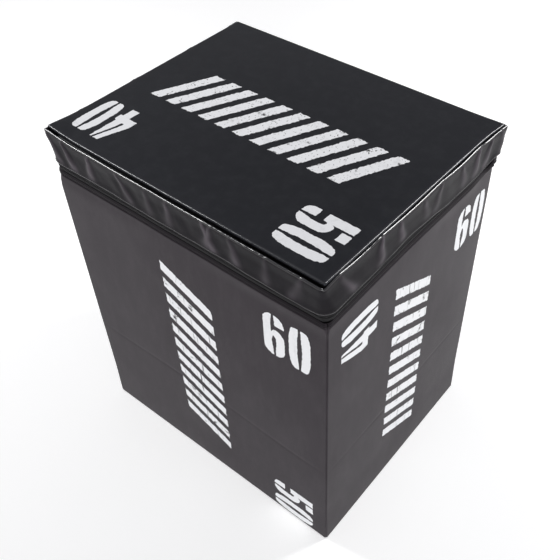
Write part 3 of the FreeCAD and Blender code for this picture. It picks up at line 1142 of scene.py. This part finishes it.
# Slider, pull and stops
# Cast zinc with a black finish that is rubbed through to bright metal here and there. The slider runs on
# the zip, the pull swings on it and the stops are crimped on the tapes. All five keep their solid shapes.
metal_grain = 0.05 * mm
zip_metal, tree, shader = new_finish("black_cast_zinc", Metallic=1.0)
place = add_node(tree, "ShaderNodeTexCoord").outputs["Object"]
rubs = add_node(tree, "ShaderNodeTexNoise", {"Scale": 420.0, "Detail": 5.0, "Roughness": 0.65})
tree.links.new(place, rubs.inputs["Vector"])
paint(tree, shader, rubs.outputs["Fac"], (0.03, 0.03, 0.032), (0.32, 0.32, 0.33), 0.55, 0.78)
tree.links.new(spread(tree, rubs.outputs["Fac"], 0.5, 0.25), shader.inputs["Roughness"])
raise_surface(tree, shader, rubs.outputs["Fac"], metal_grain)
for node in ("zip_slider", "zip_pull", "zip_bottom_stop", "zip_top_stop_lower", "zip_top_stop_upper"):
    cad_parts[node].data.materials.clear()
    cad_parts[node].data.materials.append(zip_metal)

# Topstitching
# Black polyester thread in straight lockstitch. One row holds the hem to the zip, and one holds the
# gusset's fold.
stitch_pitch = 4.2 * mm
stitch_length = 3.3 * mm
stitch_thickness = 0.75 * mm
stitch_lift = 0.12 * mm
gusset_stitch_height = fold_height + 2.6 * mm
thread, tree, shader = new_finish("black_thread", Roughness=0.5, Specular_IOR_Level=0.25)
place = add_node(tree, "ShaderNodeTexCoord").outputs["Object"]
twist = add_node(tree, "ShaderNodeTexNoise", {"Scale": 900.0, "Detail": 3.0})
tree.links.new(place, twist.inputs["Vector"])
paint(tree, shader, twist.outputs["Fac"], (0.004, 0.004, 0.0045), (0.016, 0.016, 0.017), 0.3, 0.7)


def stitch_row(name, body, point_at):
    """A row of stitches along the zip, each a small bead of thread that lies along the cloth."""
    bm = bmesh.new()
    for k in range(int(2 * zip_run / stitch_pitch)):
        run = -zip_run + (k + 0.5) * stitch_pitch
        back, front = (point_at(run + side * stitch_length / 2, 0.0) for side in (-1, 1))
        along = (front - back) / 2
        out = point_at(run, stitch_thickness / 2) - point_at(run, 0.0)
        across = out.cross(along).normalized() * stitch_thickness / 2
        shape = Matrix((along, across, out)).transposed().to_4x4()
        bead = Matrix.Translation(point_at(run, stitch_lift)) @ shape
        bmesh.ops.create_icosphere(bm, subdivisions=1, radius=1, matrix=bead)
    for face in bm.faces:
        face.smooth = True
    new_piece(name, bm, body, "thread", thread)


stitch_row("hem_stitches", "box", lambda run, lift: wall_point(run, hem_groove, lift=lift))
stitch_row("gusset_stitches", "lid", lambda run, lift: gusset_point(run, (gusset_stitch_height, -lift)))

# Printed height numbers
# White screen-printed ink: plain stencil figures for the height of the box on each of its sides, in
# centimetres. The stencil's bridges stay bare, and the ink's edge is a little ragged on the grain.
figure_height = 79.5 * mm
figure_width = 35.2 * mm
figure_gap = 7.6 * mm
ink_lift = 0.14 * mm
ink_grain = 0.03 * mm
ink_cell = 3.0 * mm
ragged = 0.85 * mm
ragged_size = 3.6 * mm
ragged_seed = 1
bend_share = 0.42
soft_share = 0.16
half_nought = (
    (0.44, 0.0, 0), (0.16, 0.0, 0.13), (0.0, 0.19, 0.30), (0.0, 0.81, 0.30), (0.16, 1.0, 0.13),
    (0.45, 1.0, 0), (0.45, 0.88, soft_share), (0.385, 0.62, soft_share), (0.385, 0.36, soft_share),
    (0.44, 0.10, soft_share),
)
figures = {
    "0": (half_nought, tuple((1 - x, 1 - y, bend) for x, y, bend in half_nought)),
    "4": (
        (
            (0.46, 0.0, 0), (0.0, 0.565, 0), (0.0, 0.745, 0), (0.47, 0.75, 0), (0.47, 1.0, 0),
            (0.87, 1.0, 0), (0.87, 0.77, 0), (1.0, 0.765, 0), (1.0, 0.615, 0), (0.905, 0.60, 0),
            (0.913, 0.0, 0), (0.815, 0.0, 0), (0.77, 0.10, 0), (0.55, 0.45, 0), (0.51, 0.585, 0),
            (0.365, 0.585, 0), (0.40, 0.48, 0), (0.66, 0.10, 0), (0.73, 0.0, 0),
        ),
    ),
    "5": (
        (
            (0.01, 0.0, 0), (0.01, 0.575, 0), (0.41, 0.575, 0), (0.42, 0.50, 0), (0.51, 0.455, soft_share),
            (0.62, 0.54, soft_share), (0.62, 0.76, soft_share), (0.53, 0.88, soft_share), (0.53, 1.0, 0),
            (1.0, 1.0, bend_share), (1.0, 0.335, bend_share), (0.50, 0.335, 0), (0.42, 0.39, 0),
            (0.42, 0.0, 0),
        ),
        ((0.53, 0.0, 0), (0.53, 0.18, 0), (0.96, 0.18, 0), (0.96, 0.0, 0)),
        ((0.0, 0.725, 0), (0.0, 1.0, 0.36), (0.42, 1.0, 0), (0.42, 0.725, 0)),
    ),
    "6": (
        (
            (0.43, 0.0, 0), (0.0, 0.0, bend_share), (0.0, 1.0, bend_share), (0.45, 1.0, 0),
            (0.46, 0.88, soft_share),
            (0.385, 0.72, soft_share), (0.385, 0.57, soft_share), (0.485, 0.495, soft_share),
            (0.60, 0.57, soft_share), (0.615, 0.70, soft_share), (0.555, 0.88, soft_share), (0.555, 1.0, 0),
            (1.0, 1.0, bend_share), (1.0, 0.345, bend_share), (0.52, 0.345, 0.1), (0.37, 0.43, 0),
            (0.37, 0.18, 0.1),
        ),
        ((0.515, 0.0, 0), (0.555, 0.25, 0), (1.0, 0.245, 0), (0.95, 0.0, 0.40)),
    ),
}


def ink_finish(name, first_wear, full_wear):
    """White ink on the cloth's grain. Where chips and scratches have worn it off, the black cloth shows."""
    material, tree, shader = new_finish(name, IOR=1.45)
    place = add_node(tree, "ShaderNodeTexCoord").outputs["Object"]
    embossed = add_effect(tree, grain, place, {"Pebbles per metre": 1 / pebble_size})
    marks = add_effect(tree, handling, place, {})
    chips = add_node(tree, "ShaderNodeTexNoise", {"Scale": 48.0, "Detail": 9.0, "Roughness": 0.7})
    along = add_node(tree, "ShaderNodeMapping", {"Scale": (1.0, 1.0, 0.05), "Rotation": (0.5, 0.6, 0.3)})
    scratches = add_node(tree, "ShaderNodeTexNoise", {"Scale": 330.0, "Detail": 2.0, "Roughness": 0.5})
    tree.links.new(place, chips.inputs["Vector"])
    tree.links.new(place, along.inputs["Vector"])
    tree.links.new(along.outputs["Vector"], scratches.inputs["Vector"])
    faint = math_node(tree, "SUBTRACT", scratches.outputs["Fac"], 0.06)
    deepest = math_node(tree, "MAXIMUM", chips.outputs["Fac"], faint)
    worn = add_node(tree, "ShaderNodeMapRange", {"From Min": first_wear, "From Max": full_wear})
    tree.links.new(deepest, worn.inputs["Value"])
    tone = two_tone(tree, marks.outputs["Scuffs"], (0.76, 0.765, 0.785), (0.58, 0.585, 0.60), 0.55, 0.85)
    bare = (0.012, 0.011, 0.0115)
    tree.links.new(mixed(tree, worn.outputs["Result"], tone, bare), shader.inputs["Base Color"])
    tree.links.new(spread(tree, marks.outputs["Smears"], 0.38, 0.58), shader.inputs["Roughness"])
    raise_surface(tree, shader, embossed.outputs["Height"], ink_grain)
    return material


number_ink = ink_finish("number_ink", 0.78, 0.86)
# Without a seed, noise_vector is offset differently in each run.
noise.seed_set(ragged_seed)
on_sides = ((0, -1, 0), (1, 0, 0), (0, 1, 0), (-1, 0, 0))


def on_face(normal, spot, lift):
    """Lays a point of a print on the face that looks along normal, lifted off it."""
    if normal.z > 0:
        return drawn(Vector((spot.x, spot.y, crowned(spot.x, spot.y) + lift)))
    if normal.z < 0:
        return Vector((spot.x, spot.y, bottom_height(spot.x, spot.y) - lift))
    side = on_sides.index(tuple(normal))
    across = Matrix.Rotation(-side * math.pi / 2, 3, "Z") @ spot
    long_half = half_length if side % 2 == 0 else half_width
    closer = (long_half - lid_corner) / (long_half - wall_inset - wall_corner)
    return wall_point(side_middles[side] + across.x * closer, spot.z, lift=lift)


def add_outline(bm, points):
    """One closed shape of ink from a few corners, each with its own rounding, in metres."""
    verts = [bm.verts.new((x, y, 0)) for x, y, _ in points]
    face = bm.faces.new(verts)
    area = sum(a.co.x * b.co.y - b.co.x * a.co.y for a, b in zip(verts, verts[1:] + verts[:1]))
    if area < 0:
        bmesh.ops.reverse_faces(bm, faces=[face])
    for vert, (_, _, bend) in zip(verts, points):
        if bend:
            round_off(bm, [vert], bend, 6, affect="VERTICES")


def lay_ink(name, bm, normal, up, centre, cell, roughness, seed, ink):
    """Cuts flat ink into cells, frays its edge and lays it on a face of the box."""
    right = up.cross(normal)
    reach = max(max(abs(v.co.x), abs(v.co.y)) for v in bm.verts)
    for direction in (Vector((1, 0, 0)), Vector((0, 1, 0))):
        count = int(reach / cell) + 1
        for k in range(-count, count + 1):
            geom = bm.verts[:] + bm.edges[:] + bm.faces[:]
            bmesh.ops.bisect_plane(bm, geom=geom, plane_co=direction * (k * cell), plane_no=direction)
    for vert in bm.verts:
        if vert.is_boundary:
            spot = Vector((vert.co.x / ragged_size, vert.co.y / ragged_size, seed))
            wander = noise.noise_vector(spot) + 0.6 * noise.noise_vector(spot * 2.7)
            vert.co += Vector((wander.x, wander.y, 0)) * roughness
    for vert in bm.verts:
        vert.co = on_face(normal, centre + right * vert.co.x + up * vert.co.y, ink_lift)
    for face in bm.faces:
        face.smooth = True
    body = "lid" if normal.z > 0 else "box"
    new_piece(name, bm, body, "print", ink)


def height_number(name, text, normal, up, centre, seed):
    """Prints a two-figure height on a face, reading with up as its top."""
    bm = bmesh.new()
    left = -(len(text) * figure_width + (len(text) - 1) * figure_gap) / 2
    for character in text:
        for outline in figures[character]:
            points = []
            for x, y, bend in outline:
                points.append((left + x * figure_width, (0.5 - y) * figure_height, bend * figure_width))
            add_outline(bm, points)
        left += figure_width + figure_gap
    lay_ink(name, bm, normal, up, Vector(centre) * mm, ink_cell, ragged, seed, number_ink)


length_out, width_out, up_out = Vector((1, 0, 0)), Vector((0, 1, 0)), Vector((0, 0, 1))
numbers = (
    ("top_40", "40", up_out, -width_out, (-192.1, -133.0, 0)),
    ("top_50", "50", up_out, length_out, (186.2, -138.3, 0)),
    ("front_60", "60", -width_out, up_out, (184.2, 0, 453.8)),
    ("front_50", "50", -width_out, length_out, (182.7, 0, 43.2)),
    ("right_40", "40", length_out, -width_out, (0, -130.6, 454.8)),
    ("right_60", "60", length_out, up_out, (0, 149.3, 454.5)),
    ("left_40", "40", -length_out, -width_out, (0, -130.6, 454.8)),
    ("left_60", "60", -length_out, up_out, (0, 149.3, 454.5)),
    ("back_60", "60", width_out, up_out, (184.2, 0, 453.8)),
    ("back_50", "50", width_out, length_out, (182.7, 0, 43.2)),
    ("bottom_40", "40", -up_out, -width_out, (-198.0, -128.0, 0)),
    ("bottom_50", "50", -up_out, length_out, (184.5, -139.0, 0)),
)
for seed, (name, text, normal, up, centre) in enumerate(numbers):
    height_number(f"{name}_ink", text, normal, up, centre, float(seed))

# Printed bars
# A worn band of slanted white bars, in the same ink, straight along the middle of each face but the
# bottom. It is chipped and scratched more than the numbers.
bar_count = 11
bar_pitch = 33 * mm
bar_width = 19 * mm
bar_height = 94 * mm
bar_slant = 46 * mm
bar_ragged = 1.5 * mm
bar_cell = 2.0 * mm
bar_ink = ink_finish("bar_ink", 0.585, 0.65)


def bar_band(name, normal, up, centre, seed):
    """Prints a band of slanted bars that runs along the reading direction of up."""
    bm = bmesh.new()
    for k in range(bar_count):
        middle = (k - (bar_count - 1) / 2) * bar_pitch
        top, bottom = middle + bar_slant / 2, middle - bar_slant / 2
        half = bar_width / 2
        add_outline(
            bm,
            (
                (top + half, bar_height / 2, 0),
                (top - half, bar_height / 2, 0),
                (bottom - half, -bar_height / 2, 0),
                (bottom + half, -bar_height / 2, 0),
            ),
        )
    lay_ink(name, bm, normal, up, Vector(centre) * mm, bar_cell, bar_ragged, seed, bar_ink)


bands = (
    ("top", up_out, width_out, (0, 0, 0)),
    ("front", -width_out, length_out, (0, 0, 270)),
    ("right", length_out, width_out, (0, 0, 270)),
    ("back", width_out, length_out, (0, 0, 270)),
    ("left", -length_out, width_out, (0, 0, 270)),
)
for seed, (name, normal, up, centre) in enumerate(bands):
    bar_band(f"{name}_bars_ink", normal, up, centre, 20.0 + seed)

# Floor, light and camera
# A plain pale floor, a broad soft key from the camera's side and two soft boxes that draw the rolled edges.
floor_half = 8.0
floor_gap = 0.3 * mm
floor_glow = 0.36
bm = bmesh.new()
bmesh.ops.create_grid(bm, x_segments=2, y_segments=2, size=floor_half)
bmesh.ops.translate(bm, verts=bm.verts[:], vec=(0, 0, -floor_gap))
floor_mesh = bpy.data.meshes.new("floor")
bm.to_mesh(floor_mesh)
bm.free()
floor = bpy.data.objects.new("floor", floor_mesh)
bpy.context.scene.collection.objects.link(floor)
floor_paint, tree, shader = new_finish("floor_paint", Roughness=0.95, Specular_IOR_Level=0.0)
shader.inputs["Base Color"].default_value = (0.93, 0.93, 0.93, 1)
shader.inputs["Emission Color"].default_value = (1, 1, 1, 1)
shader.inputs["Emission Strength"].default_value = floor_glow
floor_mesh.materials.append(floor_paint)

studio = bpy.data.worlds.new("studio")
studio.use_nodes = True
bpy.context.scene.world = studio
tree = studio.node_tree
sky_place = add_node(tree, "ShaderNodeTexCoord")
sky_axes = add_node(tree, "ShaderNodeSeparateXYZ")
tree.links.new(sky_place.outputs["Generated"], sky_axes.inputs["Vector"])
sky = two_tone(tree, sky_axes.outputs["Z"], (0.80, 0.80, 0.80), (0.22, 0.22, 0.23), 0.02, 0.35)
tree.links.new(sky, tree.nodes["Background"].inputs["Color"])


def add_lamp(name, kind, energy, place, aim, **settings):
    """Adds a lamp at a place, aimed at a point."""
    data = bpy.data.lights.new(name, kind)
    data.energy = energy
    for setting, value in settings.items():
        setattr(data, setting, value)
    lamp = bpy.data.objects.new(name, data)
    bpy.context.scene.collection.objects.link(lamp)
    lamp.location = place
    lamp.rotation_euler = (Vector(aim) - Vector(place)).to_track_quat("-Z", "Y").to_euler()


lamp_aim = (0, 0, 0.3)
add_lamp("key", "SUN", 1.75, (1.3, -1.42, 0.76), lamp_aim, angle=math.radians(30))
add_lamp("edge_right", "AREA", 28, (0.9, 1.5, 2.0), lamp_aim, shape="RECTANGLE", size=0.45, size_y=1.3)
add_lamp("edge_front", "AREA", 19, (-1.5, -0.4, 1.92), lamp_aim, shape="RECTANGLE", size=0.32, size_y=1.2)

camera_place = Vector((0.60733, -0.67890, 1.21417))
camera_azimuth = math.radians(41.13)
camera_elevation = math.radians(45.11)
camera_roll = math.radians(-2.66)
camera_data = bpy.data.cameras.new("camera")
camera_data.sensor_width = 36
camera_data.lens = 49.65
camera_data.shift_x = -0.01125
camera_data.shift_y = -0.0039
camera = bpy.data.objects.new("camera", camera_data)
bpy.context.scene.collection.objects.link(camera)
facing = Matrix.Rotation(camera_azimuth, 4, "Z") @ Matrix.Rotation(math.pi / 2 - camera_elevation, 4, "X")
camera.matrix_world = Matrix.Translation(camera_place) @ facing @ Matrix.Rotation(camera_roll, 4, "Z")
bpy.context.scene.camera = camera
bpy.context.scene.view_settings.view_transform = "Standard"
